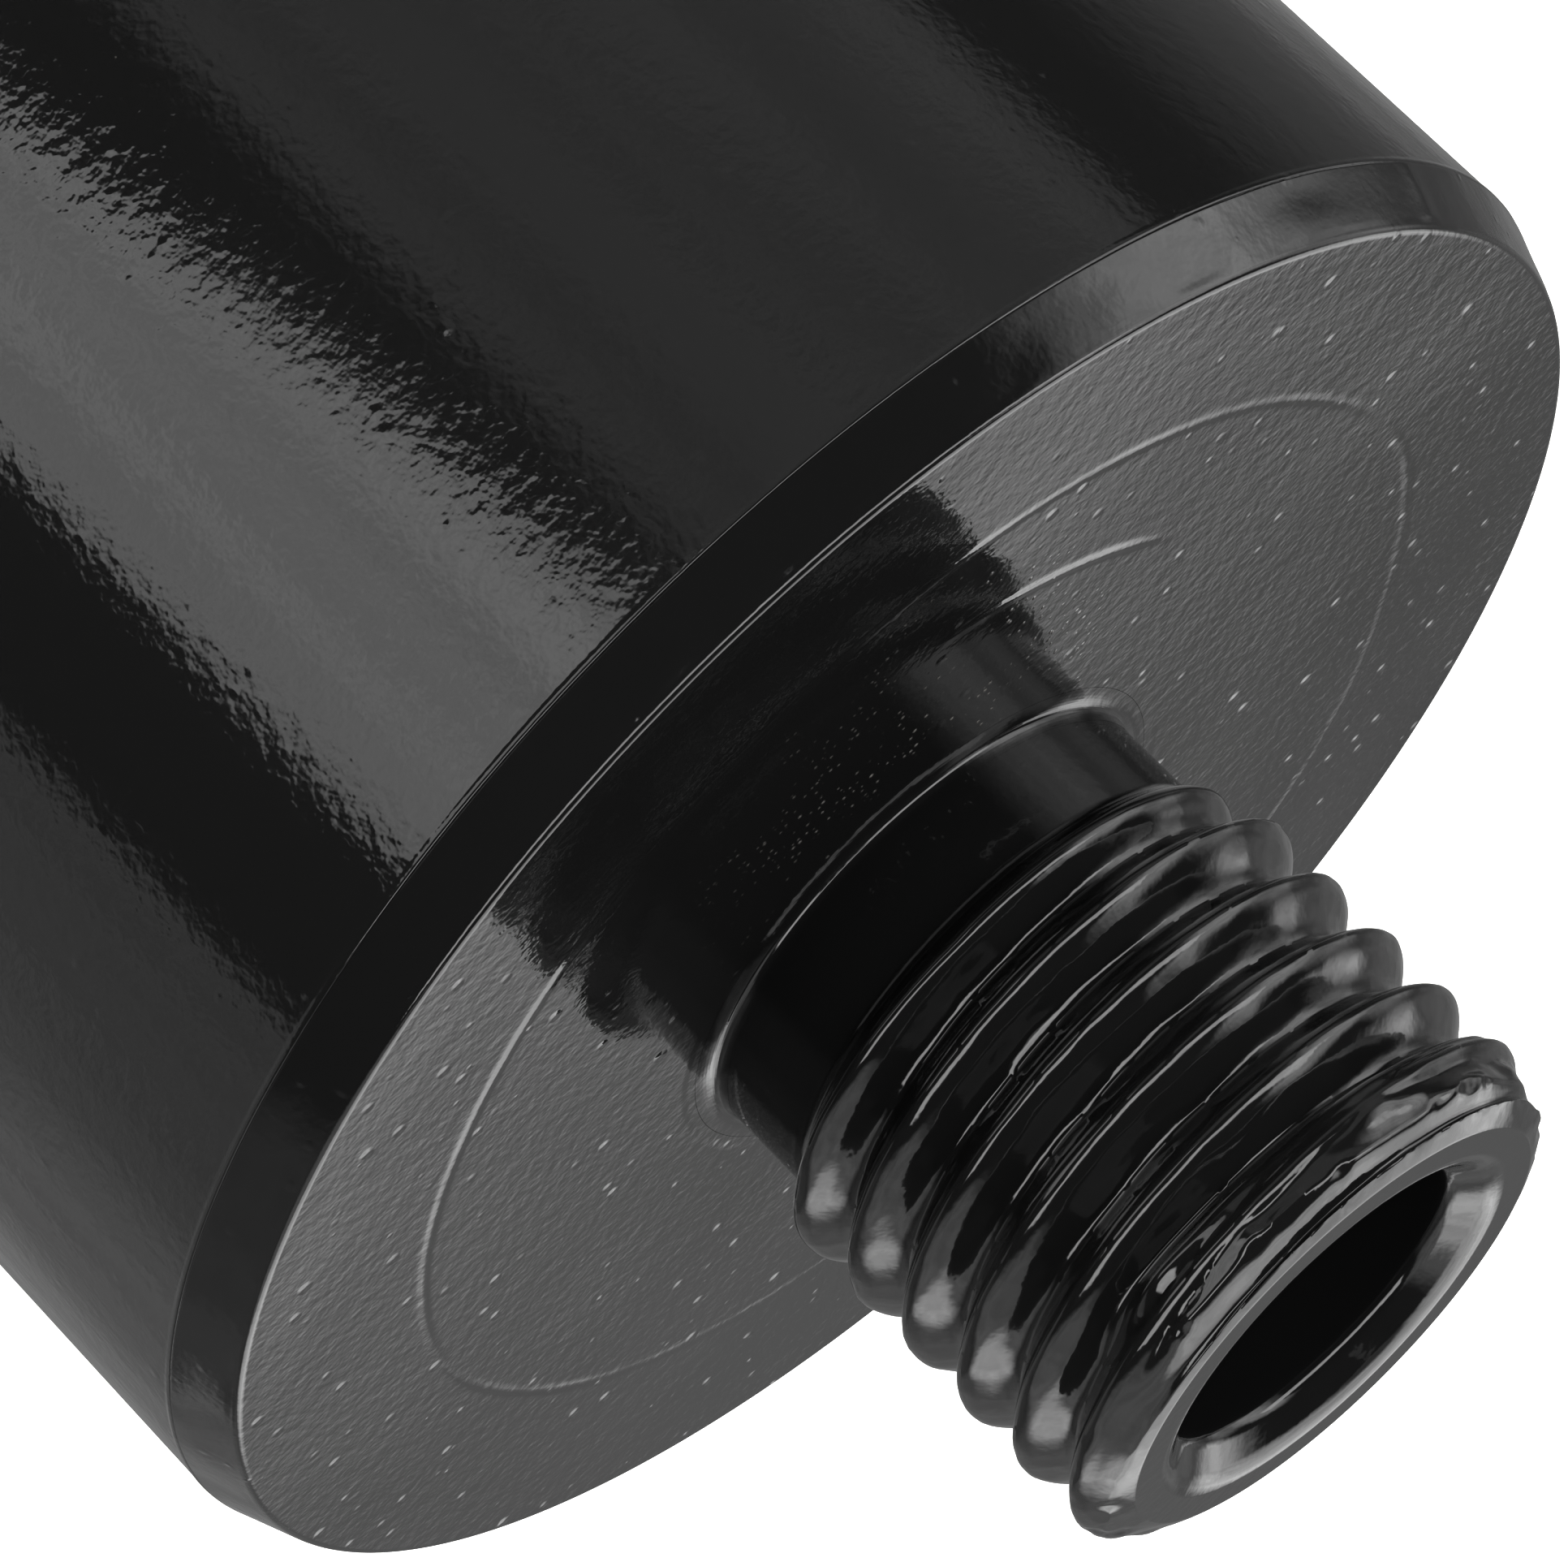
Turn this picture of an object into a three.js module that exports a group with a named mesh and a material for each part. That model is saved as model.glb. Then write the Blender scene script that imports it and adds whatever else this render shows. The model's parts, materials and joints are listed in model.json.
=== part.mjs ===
// A screw-in surge chamber: a steel canister with a threaded nipple on its front plate and, inside it,
// a gas-backed piston in a liner. A charge valve sits in the rear plate, inside the skirt.
// Millimetres. +Z runs from the rear rim, at z = 0, to the nipple's end.
import * as THREE from "three";

// Canister
const casingRadius = 30.15; // 60.3 mm tube
const casingWall = 3;
const bodyLength = 125; // rear rim to front face
const rimHeight = 2.25; // the bevelled rim of the front plate
const rimInset = 0.97;
const rearRimBevel = 0.5;
const skirtDepth = 22; // rear rim to rear plate
const frontPlateDepth = 10; // front face to the liner's seat
const rearPlateDepth = 10;
const spigotLength = 5; // how far each plate reaches into the liner
const linerWall = 3.1;
const fitGap = 0.05; // radial clearance of pieces that are pushed together

// Nipple
const neckRadius = 9.06;
const boreRadius = 5.88;
const mouthRadius = 7.55;
const mouthDepth = 0.7;
const nippleLength = 19.9; // front face to the nipple's end
const neckLength = 3.7; // plain length before the thread
const crestRadius = 10.37;
const threadDepth = 1.35;
const threadPitch = 2.65;
const threadPhase = 0.32; // share of a turn: turns the thread about the axis
const runInLength = 1.6;
const endBevelLength = 1.5;
const endBevelDepth = 1.1;
const lobeFullness = 0.7; // below 1 rounds the crests and narrows the roots
const collarRadius = 12;
const collarHeight = 2.5;
const weldDepth = 1.2; // the plate's bore is bevelled this deep for the weld
const beadWidth = 0.85;
const beadHeight = 0.6;
// The bead's crown, as shares of its width and height
const beadCrown = [
  [0.7, 0.55],
  [0.3, 0.9],
];

// Piston and stops
const pistonLength = 30;
const pistonGap = 0.1; // radial clearance in the liner
const pistonCupRadius = 17;
const pistonCrown = 8;
const pistonBevel = 1;
const pistonSealInset = 4; // piston end to seal groove
const guideWidth = 8;
const guideThickness = 1.5;
const stopRingThickness = 4;
const frontStopInner = 14;
const rearStopInner = 15;
const stopRingWidth = 7;
const stopGap = 0.05;

// Seal rings, by the radius of their section
const linerSeal = 0.8;
const plateSeal = 1;
const pistonSeal = 0.85;
const grooveSlack = 0.4; // groove width beyond the seal
const sealGap = 0.05;

// Snap ring
const snapThickness = 2;
const snapWidth = 3;
const snapReach = 1.2; // groove depth in the casing
const snapOpening = 36; // degrees
const snapLugAngle = 7;
const snapLugWidth = 5.5;
const snapHoleRadius = 1.1;
const snapHoleInset = 1.35; // hole's centre from the lug's inner edge

// Charge valve
const stemRadius = 4.9;
const stemBore = 2.3;
const capThreadRadius = 3.85;
const capThreadLength = 7.5;
const stemReach = 15; // rear plate to the stem's tip
const headRadius = 8;
const headThickness = 3;
const headSealThickness = 1;
const pocketRadius = 14;
const pocketDepth = 7;
const nutFlats = 13;
const nutThickness = 4.5;
const washerRadius = 8.5;
const washerGap = 0.3; // radial clearance on the stem
const washerThickness = 1;
const coreWall = 0.65;
const coreLength = 18;
const coreEndWall = 5;
const coreRecess = 2; // stem tip to core
const pinRadius = 0.6;
const pinGap = 0.2;
const pinRecess = 0.8; // stem tip to pin tip
const pinCollarRadius = 1.4;
const pinCollarThickness = 0.8;
const pinCollarInset = 1.8; // pin tip to collar
const poppetRadius = 1.9;
const poppetThickness = 1.4;
const poppetSealThickness = 1.15;
const springWire = 0.16; // wire radius
const springTurns = 6;
const springSteps = 12; // for each turn
const springEndGap = 0.24;
const capWall = 1.4;
const capCrown = 1.2;
const capThreadGap = 0.2;
const capSkirtGap = 0.5; // cap's edge to the stem's shoulder
const capSealThickness = 0.5;
const capFluteDepth = 0.35;
const capFlutes = 18;

// Sides of the turned solids
const wideSides = 36;
const smallSides = 20;
const threadSteps = 7; // rows for each turn of the thread

const enamelledSteel = { color: 0x0e0e0e, roughness: 0.18, metalness: 0 };
const stainless = { color: 0xb9bcbd, roughness: 0.3, metalness: 1 };
const zincSteel = { color: 0xa3a6a8, roughness: 0.4, metalness: 1 };
const springSteel = { color: 0x55585c, roughness: 0.35, metalness: 1 };
const brass = { color: 0xc9a55a, roughness: 0.3, metalness: 1 };
const acetal = { color: 0xe6e3da, roughness: 0.45, metalness: 0 };
const rubber = { color: 0x1a1a1a, roughness: 0.75, metalness: 0 };
const guidePlastic = { color: 0x6d4a32, roughness: 0.6, metalness: 0 };
const capPlastic = { color: 0x202020, roughness: 0.5, metalness: 0 };

const model = new THREE.Group();

function addPiece(name, geometry, finish) {
  const mesh = new THREE.Mesh(geometry, new THREE.MeshStandardMaterial(finish));
  mesh.name = name;
  model.add(mesh);
}

// Turns an outline of [radius, height] pairs about +Z. Its outer side goes up, and it either starts and
// ends on the axis or closes on itself.
function turned(outline, sides) {
  const points = outline.map(([radius, height]) => new THREE.Vector2(radius, height));
  if (outline[0][0] > 0) points.push(points[0].clone());
  return new THREE.LatheGeometry(points, sides).rotateX(Math.PI / 2);
}

// Moves the vertices of a turned solid in or out: newRadius(radius, turn, height), turn in [0, 1].
function reshaped(geometry, newRadius) {
  const position = geometry.getAttribute("position");
  for (let i = 0; i < position.count; i++) {
    const x = position.getX(i);
    const y = position.getY(i);
    const radius = Math.hypot(x, y);
    const turn = (Math.atan2(y, x) / (2 * Math.PI) + 1.25) % 1;
    const scale = newRadius(radius, turn, position.getZ(i)) / radius;
    position.setXY(i, x * scale, y * scale);
  }
  return geometry;
}

const tube = (inner, outer, low, high) => [[inner, low], [outer, low], [outer, high], [inner, high]];

// A notch in the outer side of an outline, from its lower edge to its upper edge.
const notch = (radius, depth, low, high) => [
  [radius, low],
  [radius - depth, low],
  [radius - depth, high],
  [radius, high],
];

// A round-section ring whose outer edge stands at the given radius.
function sealRing(outerRadius, height, section) {
  const corners = 6;
  const outline = [];
  for (let i = 0; i < corners; i++) {
    const angle = (i / corners) * 2 * Math.PI;
    const radius = outerRadius - section * (1 - Math.cos(angle));
    outline.push([radius, height + section * Math.sin(angle)]);
  }
  return turned(outline, wideSides);
}

const sealDepth = (section) => 2 * section + sealGap;
const sealNotch = (radius, section, height) => {
  const half = section + grooveSlack / 2;
  return notch(radius, sealDepth(section), height - half, height + half);
};

// Heights and radii that several pieces share
const casingBore = casingRadius - casingWall;
const plateRadius = casingBore - fitGap;
const linerBore = plateRadius - linerWall;
const spigotRadius = linerBore - fitGap;
const casingTop = bodyLength - rimHeight;
const frontSeat = bodyLength - frontPlateDepth;
const frontSpigotEnd = frontSeat - spigotLength;
const rearSeat = skirtDepth + rearPlateDepth;
const rearSpigotEnd = rearSeat + spigotLength;
const frontSealHeight = frontSeat - spigotLength / 2;
const rearSealHeight = rearSeat + spigotLength / 2;
const plateSealHeight = skirtDepth + rearPlateDepth / 2;
const snapGrooveRadius = casingBore + snapReach;
const snapLow = skirtDepth - snapThickness - 2 * fitGap;
const plateBore = neckRadius + fitGap;
const weldRadius = plateBore + beadWidth + fitGap;

function buildCanister() {
  addPiece(
    "casing_tube",
    turned(
      [
        [casingBore, 0],
        [casingRadius - rearRimBevel, 0],
        [casingRadius, rearRimBevel],
        [casingRadius, casingTop],
        [casingBore, casingTop],
        [casingBore, skirtDepth],
        [snapGrooveRadius, skirtDepth],
        [snapGrooveRadius, snapLow],
        [casingBore, snapLow],
      ],
      wideSides,
    ),
    enamelledSteel,
  );
  addPiece(
    "front_end_plate",
    turned(
      [
        [plateBore, frontSpigotEnd],
        [spigotRadius, frontSpigotEnd],
        ...sealNotch(spigotRadius, linerSeal, frontSealHeight),
        [spigotRadius, frontSeat],
        [plateRadius, frontSeat],
        [plateRadius, casingTop],
        [casingRadius, casingTop],
        [casingRadius - rimInset, bodyLength],
        [weldRadius, bodyLength],
        [plateBore, bodyLength - weldDepth],
      ],
      wideSides,
    ),
    enamelledSteel,
  );
  const liner = tube(linerBore, plateRadius, rearSeat, frontSeat);
  addPiece("cylinder_liner", turned(liner, wideSides), stainless);
  addPiece("front_liner_o_ring", sealRing(spigotRadius, frontSealHeight, linerSeal), rubber);
  addPiece("rear_liner_o_ring", sealRing(spigotRadius, rearSealHeight, linerSeal), rubber);
  addPiece("rear_plate_o_ring", sealRing(plateRadius, plateSealHeight, plateSeal), rubber);
}

const valveBore = stemRadius + 2 * fitGap;
const pocketFloor = rearSpigotEnd - pocketDepth;

function buildRearPlate() {
  addPiece(
    "rear_end_plate",
    turned(
      [
        [valveBore, skirtDepth],
        [plateRadius, skirtDepth],
        ...sealNotch(plateRadius, plateSeal, plateSealHeight),
        [plateRadius, rearSeat],
        [spigotRadius, rearSeat],
        ...sealNotch(spigotRadius, linerSeal, rearSealHeight),
        [spigotRadius, rearSpigotEnd],
        [pocketRadius, rearSpigotEnd],
        [pocketRadius, pocketFloor],
        [valveBore, pocketFloor],
      ],
      wideSides,
    ),
    zincSteel,
  );
  addPiece("rear_snap_ring", snapRing(), springSteel);
}

// An open ring with a drilled lug at each end of its gap.
function snapRing() {
  const outer = snapGrooveRadius * Math.cos(Math.PI / wideSides) - 3 * fitGap;
  const inner = outer - snapWidth;
  const lugInner = outer - snapLugWidth;
  const start = THREE.MathUtils.degToRad(snapOpening / 2);
  const end = 2 * Math.PI - start;
  const lug = THREE.MathUtils.degToRad(snapLugAngle);
  const shape = new THREE.Shape();
  shape.absarc(0, 0, outer, start, end, false);
  shape.absarc(0, 0, lugInner, end, end - lug, true);
  shape.absarc(0, 0, inner, end - lug, start + lug, true);
  shape.absarc(0, 0, lugInner, start + lug, start, true);
  shape.closePath();
  const holeDistance = lugInner + snapHoleInset + snapHoleRadius;
  for (const angle of [start + lug / 2, end - lug / 2]) {
    const hole = new THREE.Path();
    const x = holeDistance * Math.cos(angle);
    const y = holeDistance * Math.sin(angle);
    hole.absarc(x, y, snapHoleRadius, 0, 2 * Math.PI, true);
    shape.holes.push(hole);
  }
  const geometry = new THREE.ExtrudeGeometry(shape, {
    depth: snapThickness,
    bevelEnabled: false,
    curveSegments: wideSides / 2,
  });
  return geometry.translate(0, 0, snapLow + fitGap);
}

const nippleEnd = bodyLength + nippleLength;
const threadStart = bodyLength + neckLength;

// How far the thread stands up at a height: it grows over the run-in.
function threadGrowth(height) {
  return THREE.MathUtils.smoothstep(height, threadStart, threadStart + runInLength);
}

// The bevel at the nipple's end takes the crests down.
function endLimit(height) {
  const share = Math.max(0, height - (nippleEnd - endBevelLength)) / endBevelLength;
  return crestRadius - endBevelDepth * share;
}

// A round lobe with a narrow root, 0 at the root and 1 at the crest.
function lobe(share) {
  return Math.pow(Math.abs(Math.sin(Math.PI * share)), lobeFullness);
}

function threadRadius(turn, height) {
  const share = (height - bodyLength) / threadPitch - turn - threadPhase;
  const root = crestRadius - threadDepth;
  const full = root + threadDepth * lobe(share);
  const grown = THREE.MathUtils.lerp(neckRadius, full, threadGrowth(height));
  return Math.min(grown, endLimit(height));
}

function buildNipple() {
  const rows = Math.ceil(((nippleEnd - threadStart) / threadPitch) * threadSteps);
  const outline = [
    [boreRadius, frontSpigotEnd - collarHeight],
    [collarRadius, frontSpigotEnd - collarHeight],
    [collarRadius, frontSpigotEnd],
    [neckRadius, frontSpigotEnd],
  ];
  for (let row = 0; row <= rows; row++) {
    outline.push([neckRadius, THREE.MathUtils.lerp(threadStart, nippleEnd, row / rows)]);
  }
  outline.push([mouthRadius, nippleEnd], [boreRadius, nippleEnd - mouthDepth]);
  const geometry = reshaped(turned(outline, wideSides), (radius, turn, height) => {
    const onThread = height > threadStart && Math.abs(radius - neckRadius) < fitGap;
    return onThread ? threadRadius(turn, height) : radius;
  });
  addPiece("threaded_nipple", geometry, enamelledSteel);
}

// The fillet weld fills the plate's bevel and stands a little above the face.
function buildWeldBead() {
  const root = (weldDepth * beadWidth) / (weldRadius - plateBore);
  const crown = beadCrown.map(([out, up]) => [
    plateBore + beadWidth * out,
    bodyLength + beadHeight * up,
  ]);
  const bead = [
    [plateBore, bodyLength - root],
    [plateBore + beadWidth, bodyLength],
    ...crown,
    [plateBore, bodyLength + beadHeight],
  ];
  addPiece("nipple_weld_bead", turned(bead, wideSides), enamelledSteel);
}

const bumperFace = frontSpigotEnd - stopRingThickness;
const pistonFront = bumperFace - stopGap;
const pistonRear = pistonFront - pistonLength;
const pistonRadius = linerBore - pistonGap;
const pistonSealRadius = linerBore - sealGap;

function buildPiston() {
  const middle = (pistonFront + pistonRear) / 2;
  const frontSeal = pistonFront - pistonSealInset - pistonSeal;
  const rearSeal = pistonRear + pistonSealInset + pistonSeal;
  const guideLow = middle - guideWidth / 2;
  const guideHigh = middle + guideWidth / 2;
  const guideDepth = guideThickness + fitGap;
  addPiece(
    "piston",
    turned(
      [
        [0, pistonFront - pistonCrown],
        [pistonCupRadius, pistonFront - pistonCrown],
        [pistonCupRadius, pistonRear],
        [pistonRadius - pistonBevel, pistonRear],
        [pistonRadius, pistonRear + pistonBevel],
        ...sealNotch(pistonRadius, pistonSeal, rearSeal),
        ...notch(pistonRadius, guideDepth, guideLow - fitGap, guideHigh + fitGap),
        ...sealNotch(pistonRadius, pistonSeal, frontSeal),
        [pistonRadius, pistonFront - pistonBevel],
        [pistonRadius - pistonBevel, pistonFront],
        [0, pistonFront],
      ],
      wideSides,
    ),
    acetal,
  );
  addPiece("piston_o_ring_front", sealRing(pistonSealRadius, frontSeal, pistonSeal), rubber);
  addPiece("piston_o_ring_rear", sealRing(pistonSealRadius, rearSeal, pistonSeal), rubber);
  const guide = tube(pistonSealRadius - guideThickness, pistonSealRadius, guideLow, guideHigh);
  addPiece("piston_guide_ring", turned(guide, wideSides), guidePlastic);
}

function buildStops() {
  const frontOuter = frontStopInner + stopRingWidth;
  const rearOuter = rearStopInner + stopRingWidth;
  const rearFace = rearSpigotEnd + stopRingThickness;
  const bumper = tube(frontStopInner, frontOuter, bumperFace, frontSpigotEnd);
  const rearStop = tube(rearStopInner, rearOuter, rearSpigotEnd, rearFace);
  addPiece("front_bumper_ring", turned(bumper, wideSides), rubber);
  addPiece("rear_stop_ring", turned(rearStop, wideSides), rubber);
}

const stemTip = skirtDepth - stemReach;
const headLow = pocketFloor + headSealThickness;
const headHigh = headLow + headThickness;

function buildValveBody() {
  addPiece(
    "valve_body",
    turned(
      [
        [stemBore, stemTip],
        [capThreadRadius, stemTip],
        [capThreadRadius, stemTip + capThreadLength],
        [stemRadius, stemTip + capThreadLength],
        [stemRadius, headLow],
        [headRadius, headLow],
        [headRadius, headHigh],
        [stemBore, headHigh],
      ],
      smallSides,
    ),
    brass,
  );
  const washerInner = stemRadius + washerGap;
  const headSeal = tube(washerInner, headRadius, pocketFloor, headLow);
  addPiece("valve_head_seal", turned(headSeal, smallSides), rubber);
  const washerLow = skirtDepth - washerThickness;
  const washer = tube(washerInner, washerRadius, washerLow, skirtDepth);
  addPiece("valve_washer", turned(washer, smallSides), zincSteel);
  addPiece("valve_nut", hexNut(washerInner, washerLow - nutThickness), zincSteel);
}

function hexNut(holeRadius, low) {
  const corners = [];
  for (let i = 0; i < 6; i++) {
    const angle = (i / 6) * 2 * Math.PI;
    const corner = nutFlats / Math.sqrt(3);
    corners.push(new THREE.Vector2(corner * Math.cos(angle), corner * Math.sin(angle)));
  }
  const shape = new THREE.Shape(corners);
  const hole = new THREE.Path();
  hole.absarc(0, 0, holeRadius, 0, 2 * Math.PI, true);
  shape.holes.push(hole);
  const options = { depth: nutThickness, bevelEnabled: false, curveSegments: smallSides };
  return new THREE.ExtrudeGeometry(shape, options).translate(0, 0, low);
}

class Coil extends THREE.Curve {
  constructor(radius, low, high) {
    super();
    Object.assign(this, { radius, low, high });
  }

  getPoint(share, target = new THREE.Vector3()) {
    const angle = share * springTurns * 2 * Math.PI;
    const height = THREE.MathUtils.lerp(this.low, this.high, share);
    return target.set(this.radius * Math.cos(angle), this.radius * Math.sin(angle), height);
  }
}

function buildValveCore() {
  const coreLow = stemTip + coreRecess;
  const coreHigh = coreLow + coreLength;
  const coreRadius = stemBore - fitGap;
  const chamber = coreRadius - coreWall;
  const innerWall = coreHigh - coreEndWall;
  const pinHole = pinRadius + pinGap;
  addPiece(
    "valve_core",
    turned(
      [
        [chamber, coreLow],
        [coreRadius, coreLow],
        [coreRadius, coreHigh],
        [pinHole, coreHigh],
        [pinHole, innerWall],
        [chamber, innerWall],
      ],
      smallSides,
    ),
    brass,
  );
  const pinTip = stemTip + pinRecess;
  const collarLow = pinTip + pinCollarInset;
  const collarHigh = collarLow + pinCollarThickness;
  const sealLow = coreHigh + fitGap;
  const sealHigh = sealLow + poppetSealThickness;
  const pinEnd = sealHigh + poppetThickness;
  addPiece(
    "valve_pin",
    turned(
      [
        [0, pinTip],
        [pinRadius, pinTip],
        [pinRadius, collarLow],
        [pinCollarRadius, collarLow],
        [pinCollarRadius, collarHigh],
        [pinRadius, collarHigh],
        [pinRadius, sealHigh],
        [poppetRadius, sealHigh],
        [poppetRadius, pinEnd],
        [0, pinEnd],
      ],
      smallSides,
    ),
    stainless,
  );
  const poppetSeal = tube(pinRadius + fitGap, poppetRadius, sealLow, sealHigh);
  addPiece("valve_poppet_seal", turned(poppetSeal, smallSides), rubber);
  const coilRadius = (pinRadius + chamber) / 2;
  const path = new Coil(coilRadius, collarHigh + springEndGap, innerWall - springEndGap);
  const wire = new THREE.Shape().absarc(0, 0, springWire, 0, 2 * Math.PI);
  const steps = springTurns * springSteps;
  const coil = { steps, curveSegments: 3, extrudePath: path, bevelEnabled: false };
  addPiece("valve_spring", new THREE.ExtrudeGeometry(wire, coil), springSteel);
}

function buildValveCap() {
  const sealHigh = stemTip - fitGap;
  const sealLow = sealHigh - capSealThickness;
  const crownTop = sealLow - fitGap;
  const capLow = crownTop - capCrown;
  const capHigh = stemTip + capThreadLength - capSkirtGap;
  const inner = capThreadRadius + capThreadGap;
  const outer = inner + capWall;
  const cap = turned(
    [
      [0, capLow],
      [outer - capFluteDepth, capLow],
      [outer, capLow + capFluteDepth],
      [outer, capHigh],
      [inner, capHigh],
      [inner, crownTop],
      [0, crownTop],
    ],
    2 * capFlutes,
  );
  const fluted = reshaped(cap, (radius, turn) => {
    const inFlute = Math.round(turn * 2 * capFlutes) % 2 === 1;
    return inFlute && radius > inner + fitGap ? radius - capFluteDepth : radius;
  });
  addPiece("valve_cap", fluted, capPlastic);
  const seal = tube(pinRadius + pinGap, capThreadRadius, sealLow, sealHigh);
  addPiece("valve_cap_seal", turned(seal, smallSides), rubber);
}

buildCanister();
buildRearPlate();
buildNipple();
buildWeldBead();
buildPiston();
buildStops();
buildValveBody();
buildValveCore();
buildValveCap();

export default model;
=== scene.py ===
import json
import math
import bmesh
import bpy
import numpy as np
from mathutils import Matrix, Vector


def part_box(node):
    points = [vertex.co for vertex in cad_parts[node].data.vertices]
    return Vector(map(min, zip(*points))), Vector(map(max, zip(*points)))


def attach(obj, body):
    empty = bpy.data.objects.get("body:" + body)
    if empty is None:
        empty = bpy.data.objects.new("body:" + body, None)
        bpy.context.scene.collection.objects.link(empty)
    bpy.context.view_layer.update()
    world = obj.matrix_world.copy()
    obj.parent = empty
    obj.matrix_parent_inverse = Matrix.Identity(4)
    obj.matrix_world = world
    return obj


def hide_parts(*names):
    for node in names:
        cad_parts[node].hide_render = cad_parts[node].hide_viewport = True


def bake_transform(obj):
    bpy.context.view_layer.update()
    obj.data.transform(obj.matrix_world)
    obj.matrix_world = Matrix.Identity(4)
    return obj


# Surge chamber in dipped black enamel: a canister with a short threaded nipple on its front face.
# Everything is in metres, +Z from the rear rim to the nipple's end. Sizes in the dictionaries are in mm.
# A bearing is an angle round the axis in degrees: 0 faces the camera, and it grows towards -X.
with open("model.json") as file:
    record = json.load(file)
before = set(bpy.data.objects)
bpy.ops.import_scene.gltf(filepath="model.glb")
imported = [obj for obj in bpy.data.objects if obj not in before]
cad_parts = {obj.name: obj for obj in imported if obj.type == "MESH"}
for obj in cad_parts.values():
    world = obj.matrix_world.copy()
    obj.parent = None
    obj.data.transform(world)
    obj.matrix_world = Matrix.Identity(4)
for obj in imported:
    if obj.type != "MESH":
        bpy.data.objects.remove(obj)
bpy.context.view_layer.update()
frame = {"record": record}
mm = 0.001


def boxOf(node):
    low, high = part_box(node)
    return high.x / mm, low.z / mm, high.z / mm


bodyRadius, _, rimFoot = boxOf("casing_tube")
_, plateLow, faceHeight = boxOf("front_end_plate")
_, nippleLow, nippleEnd = boxOf("threaded_nipple")
print("frame loaded")

# camera

view = {
    "elevation": 20.85,  # degrees above square-on to the axis
    "roll": 135,  # leans the nipple down to the right
    "distance": 8.552,  # camera to the face's centre, in body radii
    "across": 0.1515,  # where the face's centre stands in the frame, in body radii
    "down": 0.1465,
    "lens": 178.96,
    "sensor": 36,
}


def placeCamera():
    tilt = math.radians(view["elevation"])
    roll = math.radians(view["roll"])
    right = Vector((1, 0, 0))
    up = Vector((0, math.sin(tilt), math.cos(tilt)))
    back = right.cross(up)
    cameraX = right * math.cos(roll) + up * math.sin(roll)
    cameraY = up * math.cos(roll) - right * math.sin(roll)
    offset = cameraX * view["across"] - cameraY * view["down"] - back * view["distance"]
    place = Vector((0, 0, faceHeight * mm)) - offset * bodyRadius * mm
    data = bpy.data.cameras.new("camera")
    data.lens = view["lens"]
    data.sensor_width = view["sensor"]
    data.clip_start = 0.01
    camera = bpy.data.objects.new("camera", data)
    bpy.context.scene.collection.objects.link(camera)
    turn = Matrix((cameraX, cameraY, back)).transposed().to_4x4()
    camera.matrix_world = Matrix.Translation(place) @ turn
    bpy.context.scene.camera = camera


placeCamera()
print("camera placed")

# node helpers


def linear(hexColour):
    channels = [int(hexColour[i : i + 2], 16) / 255 for i in (1, 3, 5)]
    return [c / 12.92 if c < 0.04045 else ((c + 0.055) / 1.055) ** 2.4 for c in channels] + [1]


# Adds a shader node with its settings and links, and gives back one of its outputs.
def addNode(tree, kind, inputs=None, out=0, **settings):
    node = tree.nodes.new("ShaderNode" + kind)
    for name, value in settings.items():
        setattr(node, name, value)
    for name, value in (inputs or {}).items():
        if isinstance(value, bpy.types.NodeSocket):
            tree.links.new(value, node.inputs[name])
        else:
            node.inputs[name].default_value = value
    return node.outputs[out] if len(node.outputs) else None


# studio light: a pale room with long soft panels, laid out by bearing round the canister's axis

studio = {
    "room": 0.42,  # brightness of the plain walls
    "panels": [
        # each is laid over those before it; lean is how far its two edges turn for each degree of height
        {"bearing": (158, 400), "height": (-95, 8), "light": 0.3, "edge": 9, "lean": (0, 0)},
        {"bearing": (-400, -158), "height": (-95, 8), "light": 0.3, "edge": 9, "lean": (0, 0)},
        {"bearing": (-400, 400), "height": (24, 72), "light": 3.9, "edge": 6, "lean": (0, 0)},
        {"bearing": (-126, 133), "height": (-95, 110), "light": 0.035, "edge": 9, "lean": (0, 0)},
        {"bearing": (-126, -76), "height": (-10, 22), "light": 0.3, "edge": 6, "lean": (0, 0)},
        {"bearing": (-124, -79), "height": (26, 62), "light": 1.1, "edge": 6, "lean": (0, 0)},
        {"bearing": (-132, -68), "height": (-95, -2), "light": 0.57, "edge": 3, "lean": (0, 0)},
        {"bearing": (-41, -3), "height": (-95, -6), "light": 2.9, "edge": 2, "lean": (0, 1.9)},
        {"bearing": (10, 87), "height": (-95, -3), "light": 0.47, "edge": 4, "lean": (0, 0)},
        {"bearing": (112, 150), "height": (-95, 0), "light": 0.24, "edge": 13, "lean": (0, 0)},
        {"bearing": (62, 128), "height": (2, 30), "light": 1.5, "edge": 8, "lean": (0, 0)},
        {"bearing": (72, 100), "height": (4, 58), "light": 3.4, "edge": 8, "lean": (0, 0)},
        {"bearing": (-60, 84), "height": (33, 47), "light": 7.0, "edge": 2, "lean": (0, 0)},
    ],
    "leanFrom": -25,  # the height angle that the bearings are stated at
    "clothScale": 9,  # the panels' cloth lets a little more light through in places
    "clothRange": (0.3, 0.7),  # the noise's darkest and brightest, and the light that each lets through
    "clothLight": (0.8, 1.2),
    "lampPower": 6,
    "lampSize": 1600,
    "lampPlace": (0, -750, 1300),
    "floorColour": "#f4f4f2",
    "floorGlow": 0.8,
    "floorRoughness": 0.9,
    "floorSize": 12000,
    "floorDrop": 0.2,  # below the rear rim
}


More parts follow.
